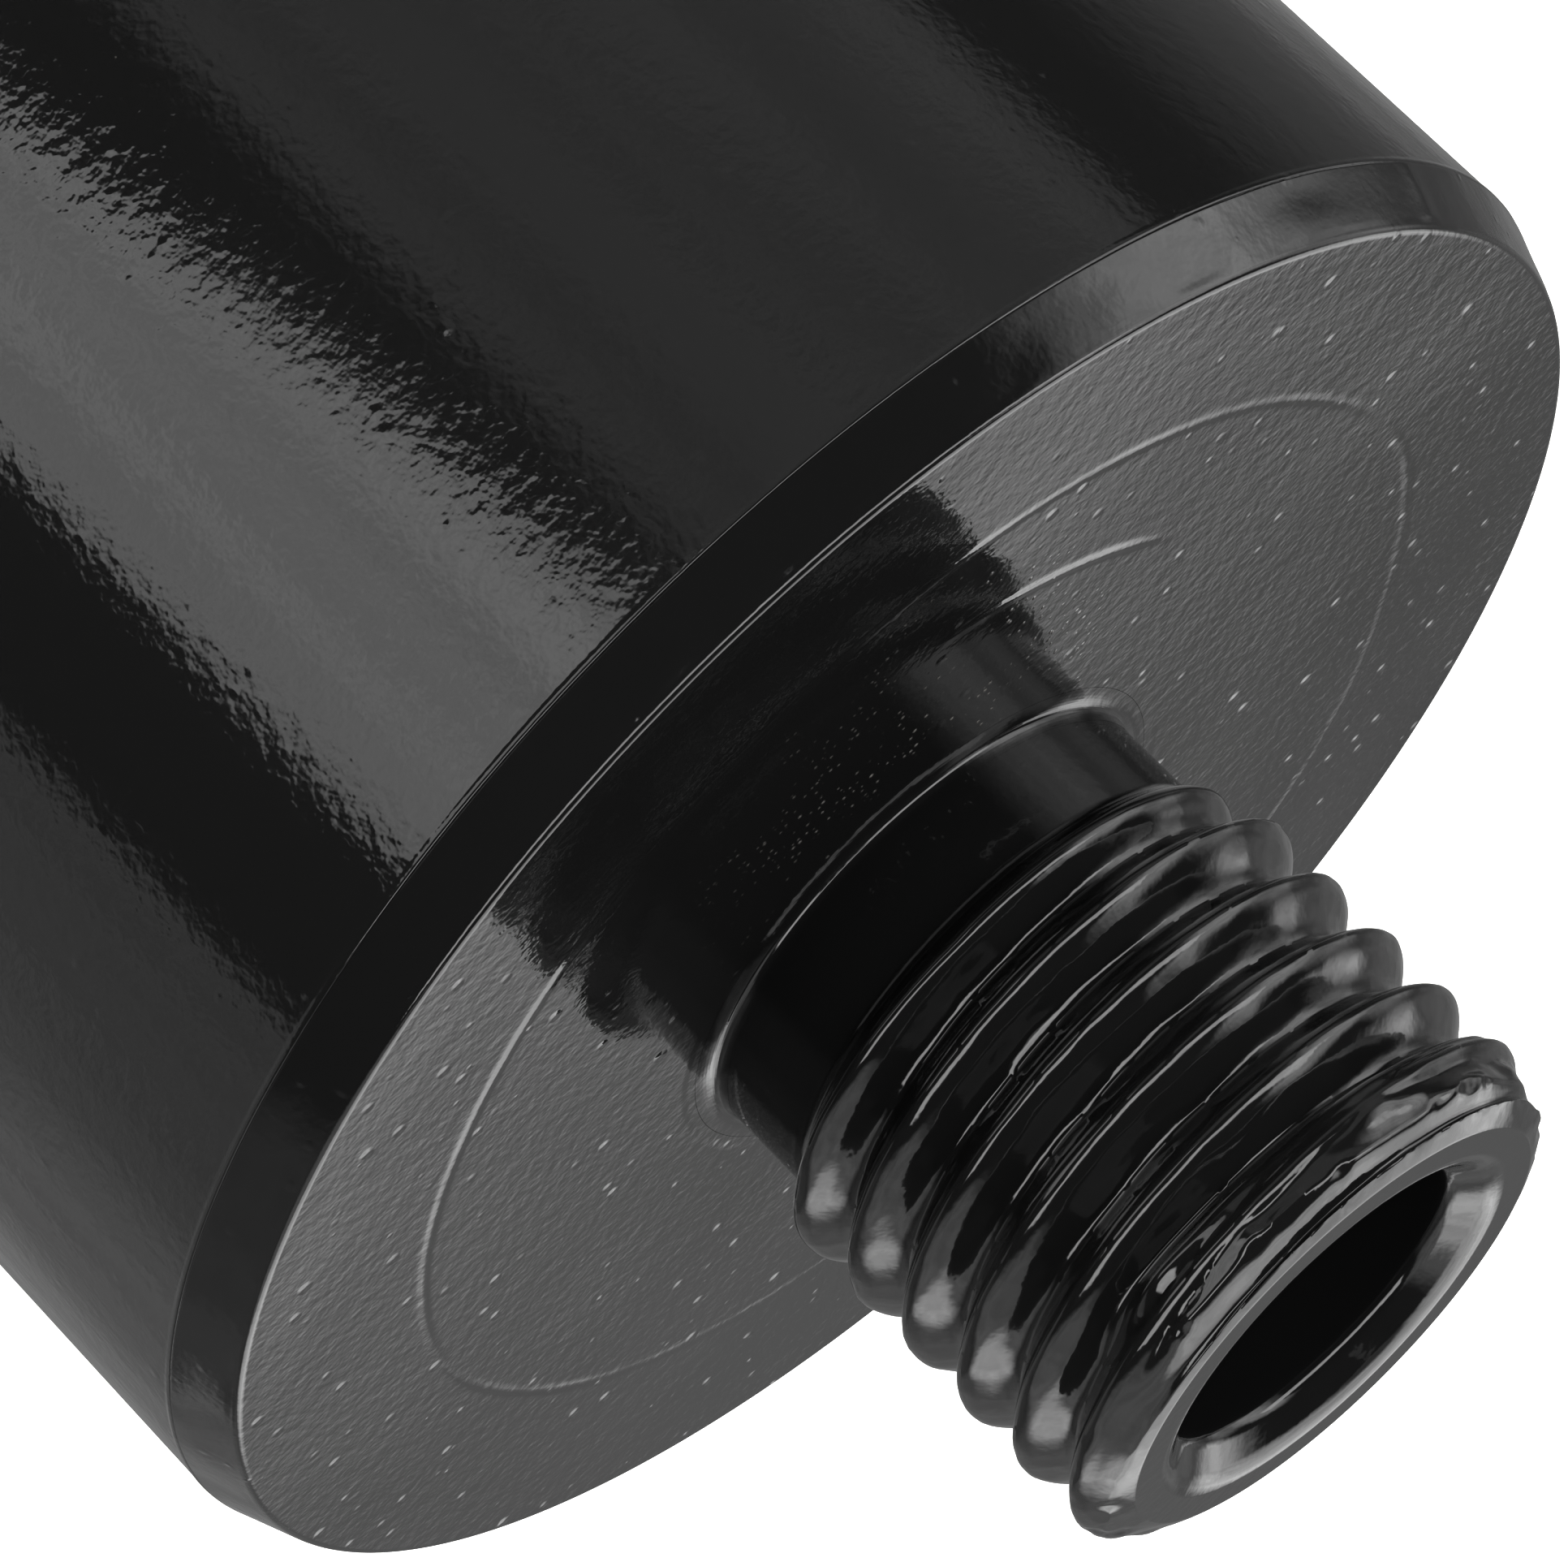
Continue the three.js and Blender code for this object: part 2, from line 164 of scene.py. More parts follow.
def lightPanel(tree, below, bearing, height, panel):
    shift = addNode(tree, "Math", {0: height, 1: studio["leanFrom"]}, operation="SUBTRACT")
    edge = panel["edge"]
    low, high = panel["height"]
    sides = [(height, low, 1), (height, high, -1)]
    for place, lean, way in zip(panel["bearing"], panel["lean"], (1, -1)):
        leaning = addNode(tree, "Math", {0: shift, 1: -lean, 2: bearing}, operation="MULTIPLY_ADD")
        sides.append((leaning, place, way))
    mask = 1.0
    for value, place, way in sides:
        inputs = {"Value": value, "From Min": place - way * edge, "From Max": place + way * edge}
        side = addNode(tree, "MapRange", inputs, interpolation_type="SMOOTHSTEP")
        mask = addNode(tree, "Math", {0: mask, 1: side}, operation="MULTIPLY")
    return addNode(tree, "Mix", {0: mask, 2: below, 3: panel["light"]}, data_type="FLOAT")


def buildStudio():
    world = bpy.data.worlds.new("studio")
    bpy.context.scene.world = world
    world.use_nodes = True
    tree = world.node_tree
    tree.nodes.clear()
    direction = addNode(tree, "TexCoord", out="Generated")
    sunward = addNode(tree, "VectorMath", {0: direction, 1: (-1, -1, 1)}, operation="MULTIPLY")
    sideways = addNode(tree, "SeparateXYZ", {0: sunward}, out="X")
    towards = addNode(tree, "SeparateXYZ", {0: sunward}, out="Y")
    rise = addNode(tree, "SeparateXYZ", {0: sunward}, out="Z")
    turn = addNode(tree, "Math", {0: sideways, 1: towards}, operation="ARCTAN2")
    bearing = addNode(tree, "Math", {0: turn}, operation="DEGREES")
    slope = addNode(tree, "Math", {0: rise}, operation="ARCSINE")
    height = addNode(tree, "Math", {0: slope}, operation="DEGREES")
    light = studio["room"]
    for panel in studio["panels"]:
        light = lightPanel(tree, light, bearing, height, panel)
    cloth = addNode(tree, "TexNoise", {"Vector": direction, "Scale": studio["clothScale"], "Detail": 3})
    (low, high), (dim, bright) = studio["clothRange"], studio["clothLight"]
    inputs = {"Value": cloth, "From Min": low, "From Max": high, "To Min": dim, "To Max": bright}
    uneven = addNode(tree, "MapRange", inputs)
    light = addNode(tree, "Math", {0: light, 1: uneven}, operation="MULTIPLY")
    seen = addNode(tree, "LightPath", out="Is Camera Ray")
    light = addNode(tree, "Mix", {0: seen, 2: light, 3: 1.0}, data_type="FLOAT")
    background = addNode(tree, "Background", {"Strength": light})
    addNode(tree, "OutputWorld", {"Surface": background})

    lamp = bpy.data.lights.new("overhead", "AREA")
    lamp.shape = "DISK"
    lamp.size = studio["lampSize"] * mm
    lamp.energy = studio["lampPower"]
    overhead = bpy.data.objects.new("overhead", lamp)
    overhead.location = Vector(studio["lampPlace"]) * mm
    overhead.rotation_euler = overhead.location.to_track_quat("Z", "Y").to_euler()
    overhead.visible_glossy = False
    overhead.visible_camera = False
    bpy.context.scene.collection.objects.link(overhead)

    place = (0, 0, -studio["floorDrop"] * mm)
    bpy.ops.mesh.primitive_plane_add(size=studio["floorSize"] * mm, location=place)
    floor = bpy.context.object
    floor.name = "floor"
    floor.visible_glossy = False
    material = bpy.data.materials.new("lit_opal_acrylic")  # a light table: even, no shine
    material.use_nodes = True
    opal = material.node_tree.nodes["Principled BSDF"]
    opal.inputs["Base Color"].default_value = linear(studio["floorColour"])
    opal.inputs["Emission Color"].default_value = linear(studio["floorColour"])
    opal.inputs["Emission Strength"].default_value = studio["floorGlow"]
    opal.inputs["Roughness"].default_value = studio["floorRoughness"]
    floor.data.materials.append(material)
    bpy.context.scene.view_settings.view_transform = "Standard"


buildStudio()
print("studio built")

# enamel

enamel = {
    "colour": "#0f0f0f",
    # pale grey of the dust specks, also used as a painted sparkle on the dry grains beside the neck
    "dustAndPaintedGlint": "#6e6c68",
    "roughness": 0.055,
    "ior": 1.5,
    "orangePeel": 0.6,  # mm across one swell
    "grain": 0.28,  # mm across one fine bump
    "pimpleSpacing": 1.15,
    "pimpleRadius": 0.36,
    "drawnLines": (1.4, 1.4, 0.09),  # noise cells in each mm: long along the axis, narrow across it
    "dustSpacing": 5.0,
    "dustRadius": 0.07,
    "sprayPlace": (-4, -12, 0),  # the dry patch fades out between these distances from here
    "sprayReach": (3, 10),
    "sprayGrain": (0.28, 0.12),  # spacing and radius
    "sprayClouds": 0.3,  # noise cells in each mm
    "sprayEdge": (0.42, 0.56),
    "haze": 0.11,  # noise cells in each mm
    "hazeRange": (0.35, 0.7),
    "hazeRoughness": (0.8, 1.5),  # shares of the roughness, in the clearest and the haziest places
}


def newMaterial(name):
    material = bpy.data.materials.new(name)
    material.use_nodes = True
    tree = material.node_tree
    place = addNode(tree, "TexCoord", out="Object")
    inMm = addNode(tree, "VectorMath", {0: place, "Scale": 1 / mm}, operation="SCALE")
    return material, tree, tree.nodes["Principled BSDF"], inMm


# Joins bump heights, in micrometres, to the shader's normal.
def addBump(tree, shader, heights):
    total = 0.0
    for value, micrometres in heights:
        total = addNode(tree, "Math", {0: value, 1: micrometres, 2: total}, operation="MULTIPLY_ADD")
    metres = addNode(tree, "Math", {0: total, 1: 1e-6}, operation="MULTIPLY")
    normal = addNode(tree, "Bump", {"Strength": 1.0, "Distance": 1.0, "Height": metres})
    tree.links.new(normal, shader.inputs["Normal"])


# Round grains of random size, at most radius across, 1 at the middle and 0 at the edge.
def addGrains(tree, inMm, spacing, radius):
    inputs = {"Vector": inMm, "Scale": 1 / spacing, "Randomness": 1.0}
    shade = addNode(tree, "TexVoronoi", inputs, out="Color", feature="F1")
    away = addNode(tree, "TexVoronoi", inputs, out="Distance", feature="F1")
    share = addNode(tree, "SeparateColor", {0: shade})
    reach = addNode(tree, "Math", {0: share, 1: radius / spacing}, operation="MULTIPLY")
    rise = addNode(tree, "Math", {0: reach, 1: away}, operation="SUBTRACT")
    grain = addNode(tree, "Math", {0: rise, 1: spacing / radius}, operation="MULTIPLY")
    return addNode(tree, "MapRange", {"Value": grain}, interpolation_type="SMOOTHSTEP")


# Dipped enamel over steel: a thick glossy coat whose orange peel frays every reflected edge, with pimples
# and dust caught in it while it was wet. The grey specks are dust. On the dry patch beside the neck the
# grains are also painted pale, which is a painted sparkle. swell, grain and pimple are the heights of
# each, in micrometres.
def dippedEnamel(name, swell, grain, pimple, spray=0.0, drawn=0.0):
    material, tree, shader, inMm = newMaterial(name)
    peel = {"Vector": inMm, "Scale": 1 / enamel["orangePeel"], "Detail": 2}
    fine = {"Vector": inMm, "Scale": 1 / enamel["grain"], "Detail": 1}
    heights = [
        (addNode(tree, "TexNoise", peel), swell),
        (addNode(tree, "TexNoise", fine), grain),
        (addGrains(tree, inMm, enamel["pimpleSpacing"], enamel["pimpleRadius"]), pimple),
    ]
    if drawn:  # the tube's drawing lines show through the coat
        along = addNode(tree, "VectorMath", {0: inMm, 1: enamel["drawnLines"]}, operation="MULTIPLY")
        heights.append((addNode(tree, "TexNoise", {"Vector": along, "Scale": 1.0, "Detail": 2}), drawn))
    dustAndGlintMask = addGrains(tree, inMm, enamel["dustSpacing"], enamel["dustRadius"])
    if spray:  # dry overspray beside the neck: raised grains, also painted pale as a painted sparkle
        flat = addNode(tree, "VectorMath", {0: inMm, 1: (1, 1, 0)}, operation="MULTIPLY")
        near, far = enamel["sprayReach"]
        inputs = {0: flat, 1: enamel["sprayPlace"]}
        away = addNode(tree, "VectorMath", inputs, out="Value", operation="DISTANCE")
        fade = addNode(tree, "MapRange", {"Value": away, "From Min": far, "From Max": near})
        clouds = {"Vector": inMm, "Scale": enamel["sprayClouds"], "Detail": 2}
        cloud = addNode(tree, "TexNoise", clouds)
        thin, thick = enamel["sprayEdge"]
        patch = addNode(tree, "MapRange", {"Value": cloud, "From Min": thin, "From Max": thick})
        here = addNode(tree, "Math", {0: fade, 1: patch}, operation="MULTIPLY")
        grains = addGrains(tree, inMm, *enamel["sprayGrain"])
        dry = addNode(tree, "Math", {0: here, 1: grains}, operation="MULTIPLY")
        heights.append((dry, spray))
        # the dry grains join the dust specks in the colour mask, and there the pale colour is a painted
        # sparkle
        dustAndGlintMask = addNode(tree, "Math", {0: dustAndGlintMask, 1: dry}, operation="ADD", use_clamp=True)
    addBump(tree, shader, heights)

    # black enamel, pale grey where dust is caught, with a painted sparkle on the dry grains
    inputs = {0: dustAndGlintMask, 6: linear(enamel["colour"]), 7: linear(enamel["dustAndPaintedGlint"])}
    colour = addNode(tree, "Mix", inputs, out=2, data_type="RGBA")
    tree.links.new(colour, shader.inputs["Base Color"])
    haze = addNode(tree, "TexNoise", {"Vector": inMm, "Scale": enamel["haze"], "Detail": 3})
    low, high = enamel["hazeRange"]
    clear, dull = (enamel["roughness"] * share for share in enamel["hazeRoughness"])
    inputs = {"Value": haze, "From Min": low, "From Max": high, "To Min": clear, "To Max": dull}
    tree.links.new(addNode(tree, "MapRange", inputs), shader.inputs["Roughness"])
    shader.inputs["IOR"].default_value = enamel["ior"]
    return material


casingEnamel = dippedEnamel("dipped_enamel_casing", swell=16, grain=6.5, pimple=14, drawn=2)
faceEnamel = dippedEnamel("dipped_enamel_face", swell=8, grain=4.5, pimple=24, spray=20)
nippleEnamel = dippedEnamel("dipped_enamel_nipple", swell=8, grain=1.5, pimple=3)
print("enamels mixed")

# inner finishes: marks are (spacing mm, depth in micrometres) of the lines a tool or mould leaves

finishes = {
    # honed stainless steel: fine crossed scratches that give a silky sheen
    "honed_stainless": {
        "colours": ("#b4b7b9", "#cfd1d2"),
        "metallic": 1,
        "roughness": (0.2, 0.32),
        "marks": "crossed",
        "lean": 0.58,  # rise of each scratch for its run round the bore
        "spacing": 0.22,  # real honing is near 0.03 mm: drawn as coarse as it needs to show
        "depth": 0.9,
    },
    # turned, zinc-plated steel: lathe rings under a cool, slightly cloudy plating
    "plated_turned_steel": {
        "colours": ("#8f959b", "#b7bbbd"),
        "metallic": 1,
        "roughness": (0.3, 0.48),
        "marks": "turned",
        "spacing": 0.25,
        "depth": 1.6,
    },
    # stamped, oil-blackened spring steel: dark, with a low oily shine
    "oiled_spring_steel": {
        "colours": ("#3a3d41", "#565a5f"),
        "metallic": 1,
        "roughness": (0.28, 0.42),
        "marks": "grain",
        "spacing": 0.5,
        "depth": 2.5,
    },
    # turned brass: warm, bright rings with duller patches where it has been handled
    "turned_brass": {
        "colours": ("#b8913f", "#d8b660"),
        "metallic": 1,
        "roughness": (0.2, 0.36),
        "marks": "turned",
        "spacing": 0.12,
        "depth": 1.0,
    },
    # turned acetal: milky white with soft lathe rings and no sparkle
    "turned_acetal": {
        "colours": ("#dcd8cc", "#ebe8df"),
        "metallic": 0,
        "roughness": (0.36, 0.5),
        "marks": "turned",
        "spacing": 0.3,
        "depth": 2.4,
    },
    # bronze-filled bearing strip: matt brown with a mottle of filler
    "filled_bearing_strip": {
        "colours": ("#5d3e29", "#7d5a3c"),
        "metallic": 0,
        "roughness": (0.5, 0.66),
        "marks": "grain",
        "spacing": 0.25,
        "depth": 3,
    },
    # moulded nitrile rubber: dull black with a faint bloom
    "moulded_nitrile": {
        "colours": ("#151515", "#232322"),
        "metallic": 0,
        "roughness": (0.55, 0.78),
        "marks": "grain",
        "spacing": 0.18,
        "depth": 2.5,
    },
    # moulded nylon: fine spark-eroded texture that breaks the shine up
    "moulded_nylon": {
        "colours": ("#17181a", "#222325"),
        "metallic": 0,
        "roughness": (0.4, 0.56),
        "marks": "grain",
        "spacing": 0.16,
        "depth": 4,
    },
}


mottling = {"clouds": 0.3, "edge": (0.35, 0.65)}  # noise cells in each mm, and where one colour turns


def machinedFinish(name, look):
    material, tree, shader, inMm = newMaterial(name)
    flat = addNode(tree, "VectorMath", {0: inMm, 1: (1, 1, 0)}, operation="MULTIPLY")
    radius = addNode(tree, "VectorMath", {0: flat}, out="Value", operation="LENGTH")
    across = addNode(tree, "SeparateXYZ", {0: inMm}, out="X")
    back = addNode(tree, "SeparateXYZ", {0: inMm}, out="Y")
    height = addNode(tree, "SeparateXYZ", {0: inMm}, out="Z")
    if look["marks"] == "turned":  # rings: the same all the way round
        places = [addNode(tree, "CombineXYZ", {0: radius, 1: height})]
    elif look["marks"] == "crossed":  # two sets of helical scratches round the bore
        turn = addNode(tree, "Math", {0: back, 1: across}, operation="ARCTAN2")
        arc = addNode(tree, "Math", {0: turn, 1: radius}, operation="MULTIPLY")
        places = []
        for lean in (look["lean"], -look["lean"]):
            line = addNode(tree, "Math", {0: arc, 1: lean, 2: height}, operation="MULTIPLY_ADD")
            slow = addNode(tree, "Math", {0: arc, 1: 0.05}, operation="MULTIPLY")  # long scratches
            places.append(addNode(tree, "CombineXYZ", {0: line, 1: slow}))
    else:
        places = [inMm]
    heights = []
    for place in places:
        inputs = {"Vector": place, "Scale": 1 / look["spacing"], "Detail": 3}
        heights.append((addNode(tree, "TexNoise", inputs), look["depth"]))
    addBump(tree, shader, heights)

    cloud = addNode(tree, "TexNoise", {"Vector": inMm, "Scale": mottling["clouds"], "Detail": 4})
    low, high = mottling["edge"]
    mottle = addNode(tree, "MapRange", {"Value": cloud, "From Min": low, "From Max": high})
    inputs = {0: mottle, 6: linear(look["colours"][0]), 7: linear(look["colours"][1])}
    colour = addNode(tree, "Mix", inputs, out=2, data_type="RGBA")
    tree.links.new(colour, shader.inputs["Base Color"])
    wear = addNode(tree, "Mix", {0: heights[0][0], 2: mottle, 3: cloud}, data_type="FLOAT")
    low, high = look["roughness"]
    inputs = {"Value": wear, "To Min": low, "To Max": high}
    tree.links.new(addNode(tree, "MapRange", inputs), shader.inputs["Roughness"])
    shader.inputs["Metallic"].default_value = look["metallic"]
    return material


finish = {name: machinedFinish(name, look) for name, look in finishes.items()}
print("inner finishes mixed")

# mesh helpers


# Smooth random numbers from -1 to 1 at points, with swells about width mm across.
def swells(points, width, seed):
    cell = points / np.array(width, float)
    base = np.floor(cell).astype(int)
    part = cell - base
    part = part * part * (3 - 2 * part)
    grid = np.random.default_rng(seed).uniform(-1, 1, (64, 64, 64))
    total = 0
    for corner in np.ndindex(2, 2, 2):
        near = np.prod(np.where(corner, part, 1 - part), axis=-1)
        index = (base + corner) % 64
        total = total + near * grid[index[..., 0], index[..., 1], index[..., 2]]
    return total


def smoothStep(value, low, high):
    share = np.clip((value - low) / (high - low), 0, 1)
    return share * share * (3 - 2 * share)


# 1 between the two stretches over which it rises from 0 and falls back to 0.
def within(value, rise, fall):
    return smoothStep(value, *rise) * (1 - smoothStep(value, *fall))


outline = {
    "arcSteps": 6,  # round each corner
    "guard": 0.04,  # from a rounding's end to the next row
}


# Points along an outline of corners: radius, height, how far from the corner its rounding starts, and the
# longest step to the next corner. The outer side goes up. Rows beside each rounding keep the flats flat.
def alongOutline(corners):
    count = len(corners)
    arcs = []
    for i, (radius, height, rounding, _) in enumerate(corners):
        here = np.array((radius, height), float)
        if rounding == 0:
            arcs.append([here])
            continue
        ends = []
        for other in (corners[i - 1], corners[(i + 1) % count]):
            way = np.array(other[:2], float) - here
            ends.append(here + way / np.linalg.norm(way) * rounding)
        share = np.linspace(0, 1, outline["arcSteps"] + 1)[:, None]
        arc = (1 - share) ** 2 * ends[0] + 2 * share * (1 - share) * here + share**2 * ends[1]
        arcs.append(list(arc))
    path = []
    closed = corners[0][0] > 0
    for i, arc in enumerate(arcs):
        path += arc
        if i == count - 1 and not closed:
            break
        start, end = arc[-1], arcs[(i + 1) % count][0]
        length = np.linalg.norm(end - start)
        steps = math.ceil(length / corners[i][3])
        guard = min(outline["guard"] / length, 0.25)
        shares = {guard, 1 - guard, *(n / steps for n in range(1, steps))}
        path += [start + (end - start) * share for share in sorted(shares)]
    return np.array(path), closed


sharpAngle = math.radians(42)  # edges sharper than this stay crisp


def addPiece(name, mesh):
    mesh.shade_smooth()
    mesh.set_sharp_from_angle(angle=sharpAngle)
    piece = bpy.data.objects.new(name, mesh)
    bpy.context.scene.collection.objects.link(piece)
    return piece


# Makes one point of points that lie within a distance, in metres.
def joinDoubles(mesh, distance):
    tidy = bmesh.new()
    tidy.from_mesh(mesh)
    bmesh.ops.remove_doubles(tidy, verts=tidy.verts, dist=distance)
    tidy.to_mesh(mesh)
    tidy.free()


# Where the points of a turned piece stand, with bearing 0 towards the camera.
def pointsAt(radius, bearing, height):
    angle = np.radians(bearing)
    return np.stack((radius * np.sin(angle), radius * np.cos(angle), height), axis=-1)


# Turns an outline about the axis. reshape(radius, bearing, height) may move the points afterwards.
def turned(name, corners, sides, reshape=None):
    path, closed = alongOutline(corners)
    rows = len(path)
    angle = np.arange(sides) / sides * 2 * math.pi
    bearing = np.broadcast_to(np.degrees(np.arctan2(-np.cos(angle), -np.sin(angle))), (rows, sides))
    radius = np.repeat(path[:, :1], sides, axis=1)
    height = np.repeat(path[:, 1:], sides, axis=1)
    if reshape:
        radius, height = reshape(radius, bearing, height)
    points = np.stack((radius * np.cos(angle), radius * np.sin(angle), height), axis=-1) * mm
    low = np.arange(rows if closed else rows - 1)[:, None]
    high = (low + 1) % rows
    side = np.arange(sides)[None, :]
    nextSide = (side + 1) % sides
    lower = [low * sides + side, low * sides + nextSide]
    upper = [high * sides + nextSide, high * sides + side]
    faces = np.stack(np.broadcast_arrays(*lower, *upper), axis=-1).reshape(-1, 4)
    mesh = bpy.data.meshes.new(name)
    mesh.from_pydata(points.reshape(-1, 3).tolist(), [], faces.tolist())
    if not closed:  # the rings of points on the axis become one point each
        joinDoubles(mesh, 1e-7)
    return addPiece(name, mesh)


bodyOf = {n: body for body, ns in frame["record"]["behaviour"]["bodies"].items() for n in ns}


# Puts a finished piece in the place of its CAD node.
def stand(piece, node, material):
    piece.data.materials.append(material)
    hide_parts(node)
    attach(piece, bodyOf[node])


# casing: drawn tube, with the raised lip of enamel that gathers where the front plate's rim begins

casing = {
    "wall": 3.0,
    "coatInset": 0.03,  # the coat's surface inside the widest radius
    "wave": 0.012,  # long dents left by drawing
    "lipWidth": 0.32,
    "lipFoot": 0.15,
    "rearBevel": 0.5,
    "grooveDepth": 1.2,
    "grooveLow": 19.9,
    "grooveHigh": 22.0,
    "sides": 320,
}
casingBore = bodyRadius - casing["wall"]


def reshapeCasing(radius, bearing, height):
    points = pointsAt(radius, bearing, height)
    outer = radius > bodyRadius - 1
    wave = swells(points, (7, 7, 30), 3) * 0.7 + swells(points, (2.5, 2.5, 9), 4) * 0.3
    lip = smoothStep(height, rimFoot - casing["lipWidth"], rimFoot - casing["lipWidth"] * 0.5)
    broken = 0.75 + 0.25 * swells(points, (1.6, 1.6, 1.6), 5)
    gathered = radius + lip * casing["coatInset"] * broken
    coat = np.minimum(gathered + casing["wave"] * wave * (1 - lip), bodyRadius)
    return np.where(outer, coat, radius), height


def buildCasing():
    outer = bodyRadius - casing["coatInset"]
    groove = casingBore + casing["grooveDepth"]
    corners = [
        (casingBore, 0, 0.2, 1),
        (outer, 0, casing["rearBevel"], 2),
        (outer, rimFoot - 2, 0, 0.25),
        (outer, rimFoot - casing["lipWidth"], 0, 0.04),
        (outer, rimFoot, casing["lipFoot"], 1),
        (casingBore, rimFoot, 0.1, 3),
        (casingBore, casing["grooveHigh"], 0.1, 1),
        (groove, casing["grooveHigh"], 0.1, 1),
        (groove, casing["grooveLow"], 0.1, 1),
        (casingBore, casing["grooveLow"], 0.1, 2),
    ]
    piece = turned("casing_shell", corners, casing["sides"], reshapeCasing)
    stand(piece, "casing_tube", casingEnamel)


buildCasing()
print("casing built")

# front plate: a bevelled rim, and a flat face with the marks of the ring it was pressed against

plate = {
    "rimInset": 0.95,
    "rimFootInset": 0.04,
    "rimRounding": 0.2,
    "rimSwell": 0.03,
    "weldInner": 9.11,
    "weldOuter": 9.97,
    "weldDepth": 1.2,
    "seat": 115.0,
    "spigot": 23.95,
    "shoulder": 27.1,
    "sealHeight": 112.5,
    "sealGrooveDepth": 1.65,
    "sealGrooveHalf": 1.0,
    "ringRadius": 21.8,  # the pressed ring
    "ringWobble": 0.25,
    "ringShift": 0.3,  # how far off centre it was pressed
    "ringShiftTurn": 0.6,  # radians
    "ringFaintest": 0.25,  # on the far side
    "ringFaintTurn": 0.35,
    "arcRadius": 17.3,
    "arcStart": (20, 28),  # bearings over which the short arc rises and fades
    "arcEnd": (46, 60),
    "arcMiddle": 36,
    "arcDrift": 0.03,  # mm inwards for each degree of bearing
    "markWidth": 0.15,
    "markHeight": 0.045,
    "dishing": 0.02,
    "dishEdge": 29,
    "runBearing": 67,  # a run of enamel stands across the rim here
    "runWidth": 1.0,  # degrees
    "runHeight": 0.05,
    "sides": 640,
}


# A rounded ridge of height 1 where the offset is 0.
def ridge(offset, width):
    return np.exp(-((offset / width) ** 2))


def reshapeFace(radius, bearing, height):
    angle = np.radians(bearing)
    points = pointsAt(radius, bearing, height)
    onFace = (height > faceHeight - 0.01) & (radius > plate["weldOuter"] + 0.5)
    wobble = plate["ringWobble"] * swells(points, (9, 9, 9), 11)
    wobble = wobble + plate["ringShift"] * np.sin(angle + plate["ringShiftTurn"])
    faintest = plate["ringFaintest"]
    fade = 0.62 + 0.38 * swells(points, (3, 3, 3), 12)
    facing = 0.5 + 0.5 * np.cos(angle + plate["ringFaintTurn"])
    fade = fade * (faintest + (1 - faintest) * facing)
    ring = ridge(radius - plate["ringRadius"] - wobble, plate["markWidth"]) * fade
    drift = (bearing - plate["arcMiddle"]) * plate["arcDrift"]
    arc = ridge(radius - plate["arcRadius"] + drift, plate["markWidth"])
    arc = arc * within(bearing, plate["arcStart"], plate["arcEnd"])
    dished = plate["dishing"] * swells(points, (8, 8, 8), 13)
    dished = dished * smoothStep(plate["dishEdge"] - radius, 0, 3)
    raised = height + plate["markHeight"] * (ring + arc) + dished
    rim = (radius > plate["shoulder"] + 0.5) & (height > rimFoot)
    rimWave = plate["rimSwell"] * swells(points, (2.2, 2.2, 1.1), 14)
    rimWave = rimWave + plate["runHeight"] * ridge(bearing - plate["runBearing"], plate["runWidth"])
    onRim = rim & (height < faceHeight - 0.3)
    return np.where(onRim, radius + rimWave, radius), np.where(onFace, raised, height)


def buildFrontPlate():
    grooveLow = plate["sealHeight"] - plate["sealGrooveHalf"]
    grooveHigh = plate["sealHeight"] + plate["sealGrooveHalf"]
    grooveRadius = plate["spigot"] - plate["sealGrooveDepth"]
    corners = [
        (plate["weldInner"], plateLow, 0.1, 1),
        (plate["spigot"], plateLow, 0.3, 2),
        (plate["spigot"], grooveLow, 0.1, 1),
        (grooveRadius, grooveLow, 0.1, 1),
        (grooveRadius, grooveHigh, 0.1, 1),
        (plate["spigot"], grooveHigh, 0.1, 1),
        (plate["spigot"], plate["seat"], 0, 1),
        (plate["shoulder"], plate["seat"], 0.1, 2),
        (plate["shoulder"], rimFoot, 0, 1),
        (bodyRadius - plate["rimFootInset"], rimFoot, 0.03, 0.12),
        (bodyRadius - plate["rimInset"], faceHeight, plate["rimRounding"], 0.13),
        (plate["weldOuter"], faceHeight, 0, 0.2),
        (plate["weldInner"], faceHeight - plate["weldDepth"], 0, 2),
    ]
    piece = turned("front_plate", corners, plate["sides"], reshapeFace)
    stand(piece, "front_end_plate", faceEnamel)


buildFrontPlate()
print("front plate built")

# weld bead: a fillet that the enamel has rounded into a soft meniscus

weld = {
    "inner": 9.065,
    "width": 0.89,
    "height": 0.6,
    "root": 1.13,
    "hollowness": 2.6,
    "steps": 12,
    "unevenness": 0.08,
    "sides": 256,
}


def reshapeWeld(radius, bearing, height):
    points = pointsAt(radius, bearing, height)
    proud = smoothStep(height, faceHeight, faceHeight + weld["height"])
    lumps = weld["unevenness"] * swells(points, (1.4, 1.4, 1.4), 21)
    return radius, height + proud * np.minimum(lumps, 0)


def buildWeld():
    inner, width, high = weld["inner"], weld["width"], weld["height"]
    corners = [(inner, faceHeight - weld["root"], 0, 1)]
    for i in range(weld["steps"] + 1):  # hollow, and in line with the face and the neck at its edges
        share = i / weld["steps"]
        out = inner + width * (1 - share) ** weld["hollowness"]
        corners.append((out, faceHeight + high * share ** weld["hollowness"], 0, 1))
    piece = turned("weld_meniscus", corners, weld["sides"], reshapeWeld)
    stand(piece, "nipple_weld_bead", nippleEnamel)


buildWeld()

# nipple: a right-hand thread drowned in enamel, which has run and torn round its end

